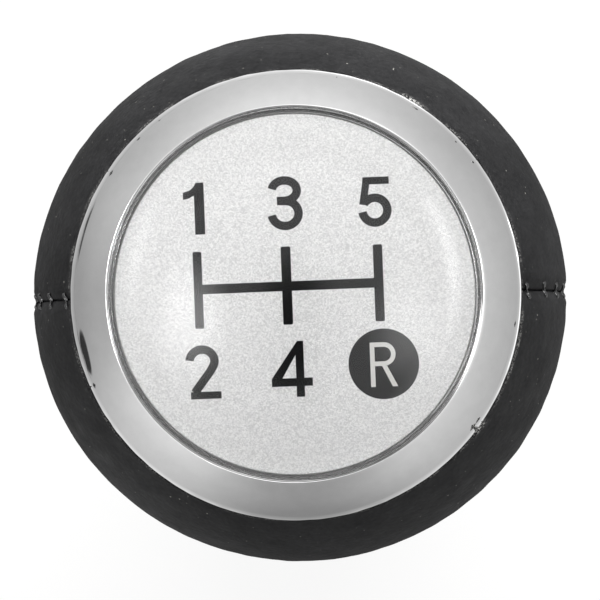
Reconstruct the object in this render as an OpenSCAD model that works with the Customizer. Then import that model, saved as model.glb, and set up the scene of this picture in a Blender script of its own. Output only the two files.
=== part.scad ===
// Gear shift knob for a five-speed gearbox. A leather cover is sewn over a
// foam-padded moulded core. The core holds a threaded insert, and a chromed
// bezel and a clear badge close it at the top.
// The knob stands on the XY plane. +Z runs up the axis of the thread. The front,
// -Y, faces the driver, and +Y the first, third and fifth gears.

/* [Head and neck] */
// Widest diameter of the head, over the leather
head_d = 50; // [49:0.5:54]
// Radius of the head's side, in section
head_side_r = 21; // [20:0.5:22]
// Height of the widest place above the base
head_z = 58; // [56:0.5:64]
// Diameter of the neck, over the leather
neck_d = 27; // [26.5:0.5:29]

/* [Cover] */
// Thickness of the leather
leather_t = 1.2; // [1:0.1:1.3]
// Thickness of the foam under the leather
foam_t = 1.8; // [1.6:0.1:2]
// Radius of the leather's roll down into the seam
roll_r = 2.4; // [2.2:0.1:2.6]
// Diameter of the sewing thread
thread_d = 0.5; // [0.4:0.05:0.6]
// Distance from one stitch to the next along the seam
stitch_pitch = 3.3; // [2.5:0.1:5]
// Slant of each stitch, in degrees
stitch_slant = 20; // [5:1:30]

/* [Core] */
// Wall of the core around its cavity
core_wall = 2.5; // [2:0.1:3]
// Thickness of the core's ribs
rib_t = 1.8; // [1.2:0.1:2.4]
// How far the core's foot stands above the base
foot_lift = 0.6; // [0.3:0.1:1]

/* [Threaded insert] */
// Nominal diameter of the lever's thread
thread_d_nominal = 12; // [10:1:12]
// Pitch of the lever's thread
thread_pitch = 1.25; // [1:0.25:1.5]
// Outside diameter of the insert
insert_d = 16; // [15:0.5:17]
// Length of the insert
insert_len = 30; // [24:1:32]
// Depth of the knurl and of the waist that lock the insert in the core
insert_key = 0.8; // [0.4:0.1:1]

/* [Bezel] */
// Outside diameter of the bezel
bezel_d = 41.2; // [40.5:0.1:42]
// Diameter of the window that the badge lies in
window_d = 33.7; // [33:0.1:34.5]
// Height of the bezel's lip above its rim
bezel_rise = 3.5; // [3:0.1:4]
// Radius of the bezel's crown, in section
bezel_crown_r = 9; // [6:0.5:20]
// Wall of the bezel's skirt
bezel_wall = 1.1; // [0.9:0.1:1.3]
// How far the skirt reaches down past the leather's surface
skirt_h = 1.9; // [1.6:0.1:2.2]
// Width of the ledge that carries the badge
ledge_w = 4.9; // [4.6:0.1:5.2]
// Thickness of the ledge
ledge_t = 0.9; // [0.7:0.1:1.2]

/* [Badge] */
// Thickness of the lens at its edge
lens_edge_t = 0.9; // [0.6:0.1:1.2]
// Height of the lens's dome
lens_rise = 0.7; // [0.3:0.1:1.2]
// Thickness of the dial plate
plate_t = 0.5; // [0.3:0.1:0.8]
// Radius of the dial plate's rolled edge
plate_edge_r = 0.45; // [0.1:0.05:0.45]

/* [Cap] */
// Thickness of the cap under the badge
cap_t = 2.2; // [1.8:0.1:2.6]
// Depth that the cap's spigot reaches into the core
spigot_h = 3; // [2:0.5:5]
// Wall of the cap's spigot
spigot_wall = 1.2; // [1:0.1:1.4]

/* [Cap screws] */
// Diameter of the circle that the screws stand on
screw_ring_d = 17; // [16:0.5:18]
// Thread diameter of a screw
screw_d = 2.9; // [2.5:0.1:3.1]
// Length of a screw under its head
screw_len = 10; // [8:1:14]
// Diameter of a screw's head
screw_head_d = 5.4; // [5:0.1:5.6]
// Height of a screw's head
screw_head_h = 1.4; // [1.2:0.1:1.6]

/* [Collar] */
// Height of the collar
collar_h = 8; // [6:0.5:12]
// Wall of the collar around the leather
collar_wall = 1.1; // [0.8:0.1:1.6]
// Thickness of the collar's floor
collar_floor = 3; // [2.6:0.1:4]
// How much the collar narrows from its rim to its foot, in radius
collar_taper = 0.4; // [0:0.1:0.8]

/* [Hidden] */
$fn = 96;

// Clearances and overruns
fit = 0.1;          // between pieces that slide over each other
seam_gap = 0.1;     // between the two folded leather edges
overrun = 1;        // how far a cut reaches past what it cuts

// Direction from the centre of the head's curve to the centre of the waist's. The
// sides of a 3-4-5 triangle keep both centres on round numbers.
waist_way = [0.8, -0.6];

// Small sizes that belong to one piece each
neck_chamfer = 0.6;         // collar, at the foot
collar_round = 0.3;         // collar, at the rim
snap_depth = 0.35;          // bead that holds the collar on the core
snap_w = 1;
snap_z = 1.6;
tuck_w = 2.6;               // leather that is tucked in under the bezel
bezel_lip_w = 0.4;          // rounded lip round the window
stitch_reach = 0.8;         // from the seam to the end of a stitch
fold_share = 0.68;          // leather's fold, as a share of its thickness
roll_margin = 0.3;          // how far the roll stops short of a quarter turn
roll_step = 0.05;           // how far the roll starts below the leather's surface
lens_sink = 0.15;           // lens edge below the lip
lens_round = 0.35;          // edge of the lens
plate_rim = 0.25;           // dial plate inside the lens's edge
hook_t = 1.1;               // hooks of the bezel
hook_inset = 0.2;           // hooks back from the ledge's inner edge
hook_barb = 0.7;
hook_h = 2;                 // hook below the cap's underside
hook_lead = 0.5;
hook_w = 6;
hook_side_gap = 0.3;
relief_len = 4;             // smooth bore past the insert's thread
insert_chamfer = 0.9;       // mouth of the thread
knurl_count = 24;
knurl_band = 9;             // length of each knurled band
knurl_margin = 0.8;         // plain rim at each end of a knurl
post_wall = 1.7;            // plastic around a screw
screw_slack = 0.2;          // clearance hole over the screw, in diameter
pilot_slack = 0.1;          // pilot hole over the screw, in diameter
head_slack = 0.5;           // counterbore over the head, in diameter
recess_w = 0.8;             // cross recess in a screw's head
recess_share = 0.62;        // its span, as a share of the head's diameter
recess_depth_share = 0.6;   // its depth, as a share of the head's height
tip_share = 0.25;           // screw's point, as a share of its length
thread_depth_factor = 1.0825;   // of an ISO metric thread, for each mm of pitch

// Steps in the curves of the sections
head_steps = 20;
waist_steps = 10;
crown_steps = 12;
dome_steps = 12;
edge_steps = 5;
roll_steps = 5;
fold_steps = 6;

screw_count = 3;
rib_count = 2 * screw_count;
hook_count = screw_count;

// The body's section: a round head, a hollow waist and a straight neck
cover_t = leather_t + foam_t;
neck_r = neck_d / 2;
bezel_r = bezel_d / 2;
head_c = [head_d / 2 - head_side_r, head_z];
waist_r = (head_c.x + waist_way.x * head_side_r - neck_r) / (1 - waist_way.x);
waist_c = head_c + (head_side_r + waist_r) * waist_way;
joint_a = atan2(waist_way.y, waist_way.x);

// Heights, from the leather's surface at the bezel downwards and upwards
rim_a = acos((bezel_r - head_c.x) / head_side_r);
rim_z = head_z + head_side_r * sin(rim_a);
tuck_z = rim_z - skirt_h;
cover_top_z = tuck_z - leather_t;
lip_z = rim_z + bezel_rise;
plate_z = lip_z - lens_sink - lens_edge_t - plate_t;
cap_z = plate_z - ledge_t;

// Radii around the bezel and the cap
seat_r = bezel_r + fit;
seat_a = acos((seat_r - head_c.x) / head_side_r);
tuck_r = bezel_r - tuck_w;
cap_r = tuck_r - fit;
window_r = window_d / 2;
ledge_r = window_r - ledge_w;
lens_r = window_r - fit;
plate_r = lens_r - plate_rim;
mouth_r = skin_r(cover_t + core_wall, cover_top_z);
spigot_r = mouth_r - fit;

// Heights in the core
insert_z = foot_lift;
insert_r = insert_d / 2;
bore_r = (thread_d_nominal - thread_depth_factor * thread_pitch) / 2;
relief_r = (thread_d_nominal + screw_slack) / 2;
relief_z = insert_z + insert_len + relief_len;
cavity_z = relief_z + core_wall;
rib_z = cover_top_z - spigot_h - overrun;
core_neck_r = neck_r - cover_t;
hem_low_z = collar_floor + fit;

// Screws
post_r = screw_d / 2 + post_wall;
head_z_top = cap_z - fit;
head_z_low = head_z_top - screw_head_h;

// The folded edge of the leather, and the stitches over it
fold_r = leather_t * fold_share;
fold_y = fold_r + seam_gap / 2;
roll_y = fold_y + (roll_r - fold_r) - roll_margin;
fold_x = sqrt(pow(roll_r - fold_r, 2) - pow(roll_y - fold_y, 2)) - roll_r;
fold_a = -atan2(roll_y - fold_y, fold_x + roll_r);
seam_x = sqrt(pow(neck_r, 2) - pow(roll_y, 2)) - neck_r - roll_step;
hem_x = fold_x - fold_r + seam_x;
thread_r = thread_d / 2;
seam_neck_len = waist_c.y - collar_h;
seam_waist_len = waist_r * abs(joint_a) * PI / 180;
seam_head_len = head_side_r * (seat_a - joint_a) * PI / 180;
seam_len = seam_neck_len + seam_waist_len + seam_head_len;
stitch_count = floor((seam_len - stitch_pitch / 2) / stitch_pitch);

function reverse(list) = [for (i = [len(list) - 1 : -1 : 0]) list[i]];

// Points on an arc, without its first one
function arc(c, r, from, to, steps) =
    [for (i = [1 : steps]) let (a = from + (to - from) * i / steps) c + r * [cos(a), sin(a)]];

// Radius of the head at a height above its widest place, t under the leather's surface
function skin_r(t, z) = head_c.x + sqrt(pow(head_side_r - t, 2) - pow(z - head_c.y, 2));

// Angle on the head's side, and on the waist, at a height
function head_a(t, z) = asin((z - head_c.y) / (head_side_r - t));
function waist_a(t, z) = 180 - asin((z - waist_c.y) / (waist_r + t));

// The body's outline from the height low up to the angle top_a, t under the leather's surface
function skin(t, low, top_a) =
    let (in_neck = low < waist_c.y,
         start_a = in_neck ? 180 : waist_a(t, low),
         start = waist_c + (waist_r + t) * [cos(start_a), sin(start_a)])
    concat(in_neck ? [[neck_r - t, low]] : [],
           [start],
           arc(waist_c, waist_r + t, start_a, 180 + joint_a, waist_steps),
           arc(head_c, head_side_r - t, joint_a, top_a, head_steps));

// The middle of an arc of radius r that bulges to the right of the way from p to q
function arc_centre(p, q, r) =
    let (half = norm(q - p) / 2, way = (q - p) / norm(q - p))
    (p + q) / 2 + sqrt(r * r - half * half) * [-way.y, way.x];

// Points on that arc, without p
function arc_between(p, q, r, steps) =
    let (c = arc_centre(p, q, r),
         from = atan2(p.y - c.y, p.x - c.x),
         to = atan2(q.y - c.y, q.x - c.x))
    arc(c, r, from, to, steps);

// Place and slant of the leather's surface at a distance along the seam: [x, z, angle of its normal]
function seam_at(s) =
    s < seam_neck_len ? [neck_r, collar_h + s, 0]
    : s < seam_neck_len + seam_waist_len
    ? let (a = 180 - (s - seam_neck_len) / waist_r * 180 / PI)
      [waist_c.x + waist_r * cos(a), waist_c.y + waist_r * sin(a), a - 180]
    : let (a = joint_a + (s - seam_neck_len - seam_waist_len) / head_side_r * 180 / PI)
      [head_c.x + head_side_r * cos(a), head_c.y + head_side_r * sin(a), a];

// Carries a flat shape along the seam on the +X side. Its x is the height
// over the leather's surface, and its y points to the front, -Y.
module along_seam(top_a) {
    far = 2 * head_d;
    translate([neck_r, 0, hem_low_z])
        linear_extrude(waist_c.y - hem_low_z) mirror([0, 1]) children();
    intersection() {
        translate([waist_c.x, 0, waist_c.y]) rotate([90, 0, 0]) rotate([0, 0, 90])
            rotate_extrude(angle = 90) translate([waist_r, 0]) mirror([1, 0]) children();
        side_wedge([waist_c, [0, waist_c.y], [0, head_c.y], head_c]);
    }
    intersection() {
        translate([head_c.x, 0, head_c.y]) rotate([90, 0, 0]) rotate([0, 0, -90])
            rotate_extrude(angle = 180) translate([head_side_r, 0]) children();
        side_wedge([head_c, waist_c, [far, waist_c.y], [far, head_c.y],
                    head_c + far * [cos(top_a), sin(top_a)]]);
    }
}

// A prism across the knob, from points in its front view
module side_wedge(points) {
    rotate([90, 0, 0]) linear_extrude(head_d, center = true) polygon(points);
}

// A ring sector of a given section, centred on an angle
module sector(at, width, r) {
    half = asin(width / 2 / r);
    rotate([0, 0, at - half]) rotate_extrude(angle = 2 * half) children();
}

module at_screw(i) {
    rotate([0, 0, 90 + i * 360 / screw_count]) translate([screw_ring_d / 2, 0, 0]) children();
}

// The insert's outside, with the waist that locks it in the core
module insert_outline() {
    waist_low = insert_z + knurl_band + insert_key;
    waist_high = insert_z + insert_len - knurl_band - insert_key;
    polygon([[0, insert_z],
             [insert_r, insert_z],
             [insert_r, waist_low - insert_key],
             [insert_r - insert_key, waist_low],
             [insert_r - insert_key, waist_high],
             [insert_r, waist_high + insert_key],
             [insert_r, insert_z + insert_len],
             [0, insert_z + insert_len]]);
}

module knob_core() {
    color([0.16, 0.16, 0.17]) difference() {
        rotate_extrude() polygon(concat(
            [[0, foot_lift]],
            skin(cover_t, foot_lift, head_a(cover_t, cover_top_z)),
            [[0, cover_top_z]]));
        difference() {
            core_cavity();
            core_ribs();
            for (i = [0 : screw_count - 1]) at_screw(i)
                cylinder(r = post_r, h = cover_top_z);
        }
        for (i = [0 : screw_count - 1]) at_screw(i)
            translate([0, 0, head_z_low - screw_len - overrun])
                cylinder(d = screw_d + pilot_slack, h = cover_top_z);
        rotate_extrude() insert_outline();
        translate([0, 0, insert_z + insert_len - overrun])
            cylinder(r = relief_r, h = relief_len + overrun);
        collar_groove();
    }
}

// The hollow that the mould's core leaves: it draws straight out of the mouth
module core_cavity() {
    t = cover_t + core_wall;
    rotate_extrude() intersection() {
        polygon(concat(
            [[0, cavity_z]],
            skin(t, cavity_z, head_a(t, cover_top_z)),
            [[skin_r(t, cover_top_z), cover_top_z + overrun], [0, cover_top_z + overrun]]));
        square([mouth_r, cover_top_z + 2 * overrun]);
    }
}

module core_ribs() {
    for (i = [0 : rib_count - 1]) rotate([0, 0, 90 + i * 360 / rib_count])
        translate([0, -rib_t / 2, 0]) cube([head_d, rib_t, rib_z]);
}

module collar_groove() {
    rotate_extrude() translate([core_neck_r - snap_depth - fit, snap_z - fit])
        square([snap_depth + overrun, snap_w + 2 * fit]);
}

module threaded_insert() {
    knurl_a = 360 / knurl_count;
    color([0.78, 0.62, 0.32]) difference() {
        rotate_extrude() insert_outline();
        translate([0, 0, insert_z - overrun]) cylinder(r = bore_r, h = insert_len + 2 * overrun);
        insert_mouth();
        for (i = [0 : knurl_count - 1], low = [insert_z, insert_z + insert_len - knurl_band])
            rotate([0, 0, (i + 0.5) * knurl_a]) translate([insert_r, 0, low + knurl_margin])
                knurl_groove();
    }
}

module insert_mouth() {
    translate([0, 0, insert_z])
        cylinder(r1 = bore_r + insert_chamfer, r2 = bore_r, h = insert_chamfer);
}

module knurl_groove() {
    depth = insert_key / 2;
    linear_extrude(knurl_band - 2 * knurl_margin) polygon([[-depth, 0], [depth, -2 * depth], [depth, 2 * depth]]);
}

module foam_padding() {
    color([0.82, 0.8, 0.72]) difference() {
        rotate_extrude() polygon(concat(
            skin(leather_t, hem_low_z, head_a(leather_t, cover_top_z)),
            reverse(skin(cover_t, hem_low_z, head_a(cover_t, cover_top_z)))));
        for (side = [0, 1]) mirror([side, 0, 0]) along_seam(rim_a) seam_channel();
    }
}

// Room in the foam for the two folded edges
module seam_channel() {
    half = roll_y + fit;
    translate([hem_x - fit, -half]) square([overrun - hem_x, 2 * half]);
}

// Half of the cover, on the +Y side. Its seam edges roll down and fold under.
module leather_half() {
    difference() {
        union() {
            intersection() {
                rotate_extrude() polygon(concat(
                    skin(0, hem_low_z, seat_a),
                    [[seat_r, tuck_z], [tuck_r, tuck_z], [tuck_r, cover_top_z]],
                    reverse(skin(leather_t, hem_low_z, head_a(leather_t, cover_top_z)))));
                translate([-head_d, roll_y, 0]) cube([2 * head_d, head_d, lip_z]);
            }
            for (side = [0, 1]) mirror([side, 0, 0]) along_seam(rim_a) folded_edge();
        }
        translate([0, 0, tuck_z]) cylinder(r = seat_r, h = bezel_rise + skirt_h);
    }
}

// The roll, the fold and the hem under them, seen along the seam
module folded_edge() {
    mirror([0, 1]) polygon(concat(
        [[seam_x, roll_y]],
        arc([seam_x - roll_r, roll_y], roll_r, 0, fold_a, roll_steps),
        arc([seam_x + fold_x, fold_y], fold_r, fold_a, -180, fold_steps),
        [[hem_x, roll_y]]));
}

module leather_rear() {
    color([0.11, 0.11, 0.115]) leather_half();
}

module leather_front() {
    color([0.12, 0.12, 0.125]) rotate([0, 0, 180]) leather_half();
}

// One stitch: it lies on one roll, dips into the seam and comes up on the other
module stitch() {
    lean = cos(stitch_slant);
    loop_r = roll_r / lean + thread_r;
    loop_y = roll_y / lean;
    dip_a = (asin(loop_y / loop_r) + 90) / 2;
    end_a = asin((loop_y - stitch_reach) / loop_r);
    rotate([stitch_slant, 0, 0]) for (side = [0, 1]) mirror([0, side, 0]) intersection() {
        translate([seam_x - roll_r, loop_y, 0]) rotate([0, 0, -dip_a])
            rotate_extrude(angle = dip_a - end_a)
                translate([loop_r, 0]) circle(r = thread_r, $fn = 24);
        translate([-neck_r, 0, -neck_r]) cube(neck_d);
    }
}

module seam_thread() {
    for (i = [0 : stitch_count - 1]) {
        place = seam_at((i + 0.5) * stitch_pitch);
        translate([place[0], 0, place[1]]) rotate([0, -place[2], 0]) stitch();
    }
}

module seam_thread_right() {
    color([0.07, 0.07, 0.07]) seam_thread();
}

module seam_thread_left() {
    color([0.07, 0.07, 0.07]) rotate([0, 0, 180]) seam_thread();
}

module neck_collar() {
    groove_r = neck_r + fit;
    rim_r = groove_r + collar_wall;
    foot_r = rim_r - collar_taper;
    bore = core_neck_r + fit;
    color([0.09, 0.09, 0.095]) rotate_extrude() polygon([
        [bore, 0],
        [foot_r - neck_chamfer, 0],
        [foot_r, neck_chamfer],
        [rim_r, collar_h - collar_round],
        [rim_r - collar_round, collar_h],
        [groove_r, collar_h],
        [groove_r, collar_floor],
        [bore, collar_floor],
        [bore, snap_z + snap_w],
        [bore - snap_depth, snap_z + snap_w / 2],
        [bore, snap_z]]);
}

module badge_cap() {
    inner_r = spigot_r - spigot_wall;
    under_z = cap_z - cap_t;
    color([0.2, 0.2, 0.21]) difference() {
        union() {
            rotate_extrude() polygon([
                [0, cap_z],
                [cap_r, cap_z],
                [cap_r, cover_top_z],
                [spigot_r, cover_top_z],
                [spigot_r, cover_top_z - spigot_h],
                [inner_r, cover_top_z - spigot_h],
                [inner_r, under_z],
                [0, under_z]]);
            for (i = [0 : screw_count - 1]) at_screw(i)
                translate([0, 0, cover_top_z]) cylinder(r = post_r, h = cap_t + under_z - cover_top_z);
        }
        for (i = [0 : screw_count - 1]) at_screw(i) {
            cylinder(d = screw_d + screw_slack, h = lip_z);
            translate([0, 0, head_z_low]) cylinder(d = screw_head_d + head_slack, h = cap_t);
        }
        for (i = [0 : hook_count - 1])
            sector(hook_at(i), hook_w + 2 * hook_side_gap, ledge_r)
                translate([ledge_r - fit, under_z - overrun])
                    square([hook_inset + hook_t + hook_barb + 2 * fit, cap_t + 2 * overrun]);
    }
}

function hook_at(i) = 90 + (i + 0.5) * 360 / hook_count;

module cap_screw(i) {
    point_h = screw_len * tip_share;
    color([0.72, 0.73, 0.75]) at_screw(i) difference() {
        union() {
            translate([0, 0, head_z_low]) cylinder(d = screw_head_d, h = screw_head_h);
            translate([0, 0, head_z_low - screw_len + point_h])
                cylinder(d = screw_d, h = screw_len - point_h);
            translate([0, 0, head_z_low - screw_len])
                cylinder(d1 = screw_d / 2, d2 = screw_d, h = point_h);
        }
        for (turn = [0, 90]) rotate([0, 0, turn])
            translate([-screw_head_d * recess_share / 2, -recess_w / 2,
                       head_z_top - screw_head_h * recess_depth_share])
                cube([screw_head_d * recess_share, recess_w, screw_head_h]);
    }
}

module chrome_bezel() {
    lip_r = window_r + bezel_lip_w;
    inner_r = bezel_r - bezel_wall;
    color([0.8, 0.81, 0.82]) union() {
        rotate_extrude() polygon(concat(
            [[bezel_r, tuck_z], [bezel_r, rim_z]],
            arc_between([bezel_r, rim_z], [lip_r, lip_z], bezel_crown_r, crown_steps),
            arc([lip_r, lip_z - bezel_lip_w], bezel_lip_w, 90, 180, edge_steps),
            [[window_r, plate_z],
             [ledge_r, plate_z],
             [ledge_r, cap_z],
             [cap_r + fit, cap_z],
             [inner_r, rim_z],
             [inner_r, tuck_z]]));
        for (i = [0 : hook_count - 1]) sector(hook_at(i), hook_w, ledge_r) bezel_hook();
    }
}

// A snap hook: it goes through the cap and catches under it
module bezel_hook() {
    in_r = ledge_r + hook_inset;
    out_r = in_r + hook_t;
    catch_z = cap_z - cap_t - fit;
    foot_z = catch_z - hook_h;
    polygon([[in_r, cap_z + ledge_t / 2],
             [in_r, foot_z],
             [out_r, foot_z],
             [out_r + hook_barb, catch_z - hook_lead],
             [out_r + hook_barb, catch_z],
             [out_r, catch_z],
             [out_r, cap_z + ledge_t / 2]]);
}

module badge_tape() {
    color([0.25, 0.25, 0.26]) translate([0, 0, cap_z]) cylinder(r = ledge_r - fit, h = ledge_t);
}

module dial_plate() {
    color([0.82, 0.82, 0.81]) rotate_extrude() polygon(concat(
        [[0, plate_z], [plate_r, plate_z]],
        arc([plate_r - plate_edge_r, plate_z + plate_t - plate_edge_r], plate_edge_r, 0, 90, edge_steps),
        [[0, plate_z + plate_t]]));
}

module badge_lens() {
    low = plate_z + plate_t;
    edge_z = low + lens_edge_t;
    flat_r = lens_r - lens_round;
    dome_r = (pow(flat_r, 2) + pow(lens_rise, 2)) / 2 / lens_rise;
    color([0.93, 0.95, 0.96, 0.35]) rotate_extrude() polygon(concat(
        [[0, low], [lens_r, low]],
        arc([flat_r, edge_z - lens_round], lens_round, 0, 90, edge_steps),
        arc_between([flat_r, edge_z], [0, edge_z + lens_rise], dome_r, dome_steps)));
}

knob_core();
threaded_insert();
foam_padding();
leather_front();
leather_rear();
seam_thread_left();
seam_thread_right();
neck_collar();
badge_cap();
cap_screw(0);  // cap_screw_1
cap_screw(1);  // cap_screw_2
cap_screw(2);  // cap_screw_3
chrome_bezel();
badge_tape();
dial_plate();
badge_lens();
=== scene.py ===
import math

import bpy
import numpy as np
from mathutils import Matrix, Vector


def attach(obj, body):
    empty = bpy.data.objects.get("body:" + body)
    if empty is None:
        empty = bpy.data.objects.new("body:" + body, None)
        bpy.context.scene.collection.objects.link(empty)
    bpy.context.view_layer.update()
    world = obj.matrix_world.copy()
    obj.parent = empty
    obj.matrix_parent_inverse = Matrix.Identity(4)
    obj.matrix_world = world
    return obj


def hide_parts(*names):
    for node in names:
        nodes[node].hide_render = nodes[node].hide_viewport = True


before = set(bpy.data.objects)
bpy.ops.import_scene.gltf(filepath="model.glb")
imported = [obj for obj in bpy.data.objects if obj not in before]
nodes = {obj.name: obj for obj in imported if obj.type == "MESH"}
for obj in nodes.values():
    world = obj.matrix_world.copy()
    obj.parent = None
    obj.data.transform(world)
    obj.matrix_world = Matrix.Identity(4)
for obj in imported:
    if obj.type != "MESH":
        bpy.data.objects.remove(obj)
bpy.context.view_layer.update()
mm = 0.001
turn = 2 * math.pi
white = (1, 1, 1, 1)

# Places on the knob that several pieces share, in millimetres
knob = {
    "neckRadius": 13.5,
    "waistRadius": 36.5,     # hollow arc between neck and head
    "waistX": 50.0,
    "waistZ": 23.5,
    "headSide": 21.0,        # round arc of the head's side
    "headX": 4.0,
    "headZ": 58.0,
    "coverLow": 3.1,         # lower end of the leather
    "leather": 1.2,
    "foam": 1.8,
    "seatRadius": 20.62,     # where the leather meets the bezel
    "edgeReach": 0.27,       # the level leather ends this far outside that
    "tuckZ": 68.97,
    "tuckRadius": 18.0,
    "plateTop": 73.313,
    "stitchPitch": 3.3,
    "stitches": 20,
    "stitchStart": 8.0,      # the collar's top, where the visible seam begins
    "stitchGap": 0.7,        # bare seam above it, beside half a pitch
}
waistAngle = math.asin(0.6)  # the waist's arc is a 3-4-5 angle
neckLength = knob["waistZ"] - knob["coverLow"]
waistLength = knob["waistRadius"] * waistAngle


def toLinear(code):
    # sRGB hex to the linear colour that a shader takes
    parts = [int(code[i:i + 2], 16) / 255 for i in (0, 2, 4)]
    return tuple(p / 12.92 if p <= 0.04045 else ((p + 0.055) / 1.055) ** 2.4 for p in parts) + (1.0,)


def addNode(tree, kind, settings=None, inputs=None):
    # one shader node with its settings, and its inputs as values or as links from other nodes
    node = tree.nodes.new("ShaderNode" + kind)
    for key, value in (settings or {}).items():
        setattr(node, key, value)
    for key, value in (inputs or {}).items():
        socket = node.inputs[key]
        if isinstance(value, bpy.types.NodeSocket):
            tree.links.new(value, socket)
        else:
            socket.default_value = value
    return node


def newMaterial(name):
    # an empty material: itself, its nodes and the object's own coordinates
    material = bpy.data.materials.new(name)
    material.use_nodes = True
    tree = material.node_tree
    tree.nodes.clear()
    return material, tree, addNode(tree, "TexCoord").outputs["Object"]


def closeMaterial(tree, shader):
    addNode(tree, "OutputMaterial", None, {"Surface": shader})


def closeSurface(tree, inputs):
    closeMaterial(tree, addNode(tree, "BsdfPrincipled", None, inputs).outputs[0])


def noise(tree, place, size, detail, roughness=0.5):
    # clouds of a size in millimetres
    return addNode(tree, "TexNoise", None,
                   {"Vector": place, "Scale": 1 / (size * mm), "Detail": detail,
                    "Roughness": roughness}).outputs


def cells(tree, place, size):
    # cells of a size in millimetres, each with a colour of its own
    return addNode(tree, "TexVoronoi", {"feature": "F1"},
                   {"Vector": place, "Scale": 1 / (size * mm), "Randomness": 1.0}).outputs


def calculate(tree, operation, *values):
    return addNode(tree, "Math", {"operation": operation}, dict(enumerate(values))).outputs[0]


def combine(tree, operation, *vectors):
    return addNode(tree, "VectorMath", {"operation": operation},
                   dict(enumerate(vectors))).outputs[0]


def firstChannel(tree, colour):
    return addNode(tree, "SeparateColor", None, {"Color": colour}).outputs[0]


def mapRange(tree, value, low, high, toLow=0.0, toHigh=1.0, kind="LINEAR"):
    return addNode(tree, "MapRange", {"interpolation_type": kind},
                   {"Value": value, "From Min": low, "From Max": high,
                    "To Min": toLow, "To Max": toHigh}).outputs[0]


def mixColour(tree, share, first, second):
    # each colour is a hex code or a link
    ends = [toLinear(c) if isinstance(c, str) else c for c in (first, second)]
    return addNode(tree, "Mix", {"data_type": "RGBA"},
                   {"Factor": share, "A": ends[0], "B": ends[1]}).outputs[2]


def mixShader(tree, share, first, second):
    return addNode(tree, "MixShader", None, {0: share, 1: first, 2: second}).outputs[0]


def ramp(tree, value, steps):
    # colours along a value, each step a place and a colour
    node = addNode(tree, "ValToRGB", None, {"Fac": value})
    marks = node.color_ramp.elements
    while len(marks) < len(steps):
        marks.new(0.5)
    for mark, (at, colour) in zip(marks, steps):
        mark.position, mark.color = at, colour
    return node.outputs["Color"]


def relief(tree, height, strength, depth, normal=None):
    # bump of a depth in millimetres, over another one if there is one
    inputs = {"Height": height, "Strength": strength, "Distance": depth * mm}
    if normal:
        inputs["Normal"] = normal
    return addNode(tree, "Bump", None, inputs).outputs[0]


def painted(tree, name):
    # the value that paint keeps at each point of a piece
    return addNode(tree, "Attribute", {"attribute_name": name}).outputs["Fac"]


def paint(piece, name, values):
    kept = piece.data.attributes.new(name, "FLOAT", "POINT")
    kept.data.foreach_set("value", values.astype(np.float32))


def softNoise(points, size, seed, terms=16):
    # smooth waviness: a sum of plane waves of about the given length, in seeded directions
    random = np.random.default_rng(seed)
    way = random.normal(size=(terms, 3))
    way /= np.linalg.norm(way, axis=1, keepdims=True)
    wave = way * random.uniform(0.7, 1.4, (terms, 1)) * turn / size
    return np.sin(points @ wave.T + random.uniform(0, turn, terms)).sum(-1) / math.sqrt(terms / 2)


def bump(x, middle, width):
    # bell curve
    return np.exp(-((x - middle) / width) ** 2)


def smooth(x, low, high):
    # eased step from 0 at low to 1 at high
    t = np.clip((x - low) / (high - low), 0, 1)
    return t * t * (3 - 2 * t)


def gridFaces(rows, cols, closeRows=False, closeCols=False, start=0):
    # quads between neighbours of a grid, round to the first line again where it closes
    index = np.arange(rows * cols).reshape(rows, cols) + start
    if closeRows:
        index = np.vstack([index, index[:1]])
    if closeCols:
        index = np.hstack([index, index[:, :1]])
    return np.stack([index[:-1, :-1], index[:-1, 1:], index[1:, 1:], index[1:, :-1]], -1).reshape(-1, 4)


def makePiece(name, points, faces, material, standsFor=(), sharp=40):
    # points in millimetres, faces as a list of arrays with one face a row
    points = np.reshape(points, (-1, 3))
    mesh = bpy.data.meshes.new(name)
    corners = np.concatenate([f.ravel() for f in faces]).astype(np.int32)
    sizes = np.concatenate([np.full(len(f), f.shape[1]) for f in faces])
    mesh.vertices.add(len(points))
    mesh.vertices.foreach_set("co", (points * mm).astype(np.float32).ravel())
    mesh.loops.add(len(corners))
    mesh.loops.foreach_set("vertex_index", corners)
    mesh.polygons.add(len(sizes))
    mesh.polygons.foreach_set("loop_start", (np.cumsum(sizes) - sizes).astype(np.int32))
    mesh.polygons.foreach_set("use_smooth", np.ones(len(sizes), bool))
    mesh.update(calc_edges=True)
    mesh.validate()
    mesh.set_sharp_from_angle(angle=math.radians(sharp))
    mesh.materials.append(material)
    piece = bpy.data.objects.new(name, mesh)
    bpy.context.scene.collection.objects.link(piece)
    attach(piece, "root")
    if standsFor:
        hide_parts(*standsFor)
    return piece


def revolve(section, count):
    # each point of a closed section, listed anticlockwise, is carried round the z axis
    section = np.asarray(section, float)
    angle = np.arange(count) / count * turn
    r, z = section[:, :1], section[:, 1:]
    points = np.stack([r * np.cos(angle), r * np.sin(angle), z + 0 * angle], -1)
    onAxis = section[:, 0] < 1e-6
    body = points[~onAxis]
    faces = [gridFaces(len(body), count, not onAxis.any(), True)]
    flat = body.reshape(-1, 3)
    if onAxis.any():
        here = np.arange(count)
        after = (here + 1) % count
        last = (len(body) - 1) * count
        low, top = len(flat), len(flat) + 1
        flat = np.vstack([flat, [0, 0, section[0, 1]], [0, 0, section[-1, 1]]])
        faces.append(np.stack([np.full(count, low), after, here], 1))
        faces.append(np.stack([last + here, last + after, np.full(count, top)], 1))
    return flat, faces


def arc(centre, radius, first, last, count):
    # points on a circle, angles in degrees from the x axis
    a = np.radians(np.linspace(first, last, count))
    return np.stack([centre[0] + radius * np.cos(a), centre[1] + radius * np.sin(a)], -1)


def line(first, last, count):
    return np.linspace(first, last, count)


print("scene: frame loaded")


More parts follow.
